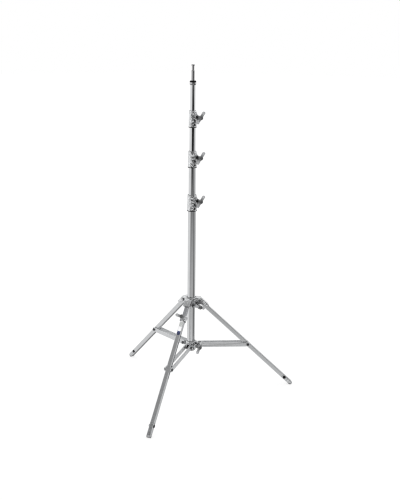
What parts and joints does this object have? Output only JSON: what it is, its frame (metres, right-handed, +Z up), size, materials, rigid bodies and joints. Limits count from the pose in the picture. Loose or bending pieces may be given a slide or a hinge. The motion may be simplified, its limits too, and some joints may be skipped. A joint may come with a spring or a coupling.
{
  "type": "telescopic lighting stand",
  "caption": "Chromed steel telescopic lighting stand: braced tripod base with a levelling leg, nested risers with collar clamps and T-handles, and a stud on top for a lamp.",
  "frame": {"origin": "on the floor, under the axis of the column", "axes": "+Z up along the column; the levelling leg points along -Y, and the other two legs are at 30 and 150 degrees from +X"},
  "size_m": [0.9688, 0.8389, 1.708],
  "materials": {
    "chrome_tube": "mirror chrome plate on drawn steel tube",
    "leg_steel": "satin chrome plate on square steel tube",
    "brace_steel": "satin chrome plate on flat steel bar",
    "rail_steel": "brushed zinc-plated steel",
    "stud_steel": "turned and polished steel",
    "casting": "polished die casting, plated",
    "handle_casting": "polished die casting, plated, darker in the recesses",
    "bolt_steel": "dark zinc plate",
    "screw_steel": "zinc plate",
    "pin_dark": "black oxide",
    "bush_plastic": "black nylon",
    "brake_shoe": "plain brass",
    "foot_casting": "polished die casting, plated",
    "label": "laminated sticker with no text"
  },
  "bodies": {
    "lower_hub": {"lower_hub": "casting", "lower_hub_shoe": "brake_shoe", "brace_hinge_bolts": "bolt_steel"},
    "column": {"base_tube": "chrome_tube", "base_tube_plug": "bush_plastic", "base_collar": "casting", "base_collar_bolts": "bolt_steel", "base_collar_nut": "bolt_steel"},
    "base_collar_handle": {"base_collar_handle": "handle_casting", "base_collar_screw": "screw_steel"},
    "riser_2": {"riser_2_tube": "chrome_tube", "riser_2_bush": "bush_plastic", "riser_2_collar": "casting", "riser_2_collar_bolts": "bolt_steel", "riser_2_collar_nut": "bolt_steel"},
    "riser_2_handle": {"riser_2_handle": "handle_casting", "riser_2_screw": "screw_steel"},
    "riser_3": {"riser_3_tube": "chrome_tube", "riser_3_bush": "bush_plastic", "riser_3_collar": "casting", "riser_3_collar_bolts": "bolt_steel", "riser_3_collar_nut": "bolt_steel"},
    "riser_3_handle": {"riser_3_handle": "handle_casting", "riser_3_screw": "screw_steel"},
    "riser_4": {"riser_4_tube": "chrome_tube", "riser_4_bush": "bush_plastic", "stud_ring": "stud_steel", "top_stud": "stud_steel"},
    "upper_hub": {"upper_hub": "casting", "upper_hub_shoe": "brake_shoe", "leg_hinge_bolts": "bolt_steel"},
    "upper_hub_handle": {"upper_hub_handle": "handle_casting", "upper_hub_screw": "screw_steel"},
    "lower_hub_handle": {"lower_hub_handle": "handle_casting", "lower_hub_screw": "screw_steel"},
    "right_leg": {"right_leg_tube": "leg_steel", "right_leg_sleeve": "bolt_steel", "right_foot": "foot_casting", "right_foot_pin": "pin_dark"},
    "left_leg": {"left_leg_tube": "leg_steel", "left_leg_sleeve": "bolt_steel", "left_foot": "foot_casting", "left_foot_pin": "pin_dark"},
    "level_leg": {"level_rail": "rail_steel", "level_rail_sleeve": "bolt_steel", "level_rail_bush": "bush_plastic"},
    "level_tube": {"level_tube": "leg_steel", "level_clamp": "casting", "level_clamp_shoe": "brake_shoe", "level_foot": "foot_casting", "level_foot_pin": "pin_dark", "level_labels": "label"},
    "level_handle": {"level_handle": "handle_casting", "level_screw": "screw_steel"},
    "right_brace": {"right_brace_bars": "brace_steel", "right_brace_bolt": "bolt_steel"},
    "left_brace": {"left_brace_bars": "brace_steel", "left_brace_bolt": "bolt_steel"},
    "level_brace": {"level_brace_bars": "brace_steel", "level_brace_bolt": "bolt_steel"}
  },
  "joints": [
    {"name": "column_slide", "type": "slide", "parent": "lower_hub", "child": "column", "axis": [0, 0, 1], "range_m": [-0.23, 0]},
    {"name": "riser_2_slide", "type": "slide", "parent": "column", "child": "riser_2", "axis": [0, 0, 1], "range_m": [-0.137, 0.54]},
    {"name": "riser_3_slide", "type": "slide", "parent": "riser_2", "child": "riser_3", "axis": [0, 0, 1], "range_m": [-0.115, 0.59]},
    {"name": "riser_4_slide", "type": "slide", "parent": "riser_3", "child": "riser_4", "axis": [0, 0, 1], "range_m": [-0.121, 0.65]},
    {"name": "base_fold", "type": "slide", "parent": "lower_hub", "child": "upper_hub", "axis": [0, 0, 1], "range_m": [0, 0.37241]},
    {"name": "right_leg_hinge", "type": "hinge", "parent": "upper_hub", "child": "right_leg", "pos_m": [0.04157, 0.024, 0.505], "axis": [-0.5, 0.866, 0], "range_deg": [0, 42.52]},
    {"name": "left_leg_hinge", "type": "hinge", "parent": "upper_hub", "child": "left_leg", "pos_m": [-0.04157, 0.024, 0.505], "axis": [-0.5, -0.866, 0], "range_deg": [0, 42.52]},
    {"name": "level_leg_hinge", "type": "hinge", "parent": "upper_hub", "child": "level_leg", "pos_m": [0, -0.048, 0.505], "axis": [1, 0, 0], "range_deg": [0, 42.52]},
    {"name": "right_brace_hinge", "type": "hinge", "parent": "lower_hub", "child": "right_brace", "pos_m": [0.03897, 0.0225, 0.264], "axis": [0.5, -0.866, 0], "range_deg": [0, 88.57]},
    {"name": "left_brace_hinge", "type": "hinge", "parent": "lower_hub", "child": "left_brace", "pos_m": [-0.03897, 0.0225, 0.264], "axis": [0.5, 0.866, 0], "range_deg": [0, 88.57]},
    {"name": "level_brace_hinge", "type": "hinge", "parent": "lower_hub", "child": "level_brace", "pos_m": [0, -0.045, 0.264], "axis": [-1, 0, 0], "range_deg": [0, 88.57]},
    {"name": "level_slide", "type": "slide", "parent": "level_leg", "child": "level_tube", "axis": [0, -0.7071, -0.7071], "range_m": [-0.045, 0.18]},
    {"name": "base_collar_handle_turn", "type": "hinge", "parent": "column", "child": "base_collar_handle", "pos_m": [0.01749, 0.02498, 1.03697], "axis": [0.8192, -0.5736, 0], "range_deg": [-270, 30]},
    {"name": "riser_2_handle_turn", "type": "hinge", "parent": "riser_2", "child": "riser_2_handle", "pos_m": [0.01606, 0.02294, 1.25697], "axis": [0.8192, -0.5736, 0], "range_deg": [-270, 30]},
    {"name": "riser_3_handle_turn", "type": "hinge", "parent": "riser_3", "child": "riser_3_handle", "pos_m": [0.01463, 0.02089, 1.45497], "axis": [0.8192, -0.5736, 0], "range_deg": [-270, 30]},
    {"name": "upper_hub_handle_turn", "type": "hinge", "parent": "upper_hub", "child": "upper_hub_handle", "pos_m": [0.03783, -0.01606, 0.489], "axis": [0.9205, -0.3907, 0], "range_deg": [-270, 30]},
    {"name": "lower_hub_handle_turn", "type": "hinge", "parent": "lower_hub", "child": "lower_hub_handle", "pos_m": [0.03783, -0.01606, 0.265], "axis": [0.9205, -0.3907, 0], "range_deg": [-270, 30]},
    {"name": "level_handle_turn", "type": "hinge", "parent": "level_tube", "child": "level_handle", "pos_m": [0, -0.1081, 0.4449], "axis": [0, -0.7071, 0.7071], "range_deg": [-270, 30]}
  ],
  "couplings": [
    {"joint": "right_leg_hinge", "follows": "base_fold", "rad_per_m": 1.9918},
    {"joint": "left_leg_hinge", "follows": "base_fold", "rad_per_m": 1.9918},
    {"joint": "level_leg_hinge", "follows": "base_fold", "rad_per_m": 1.9918},
    {"joint": "right_brace_hinge", "follows": "base_fold", "rad_per_m": 4.15},
    {"joint": "left_brace_hinge", "follows": "base_fold", "rad_per_m": 4.15},
    {"joint": "level_brace_hinge", "follows": "base_fold", "rad_per_m": 4.15}
  ]
}
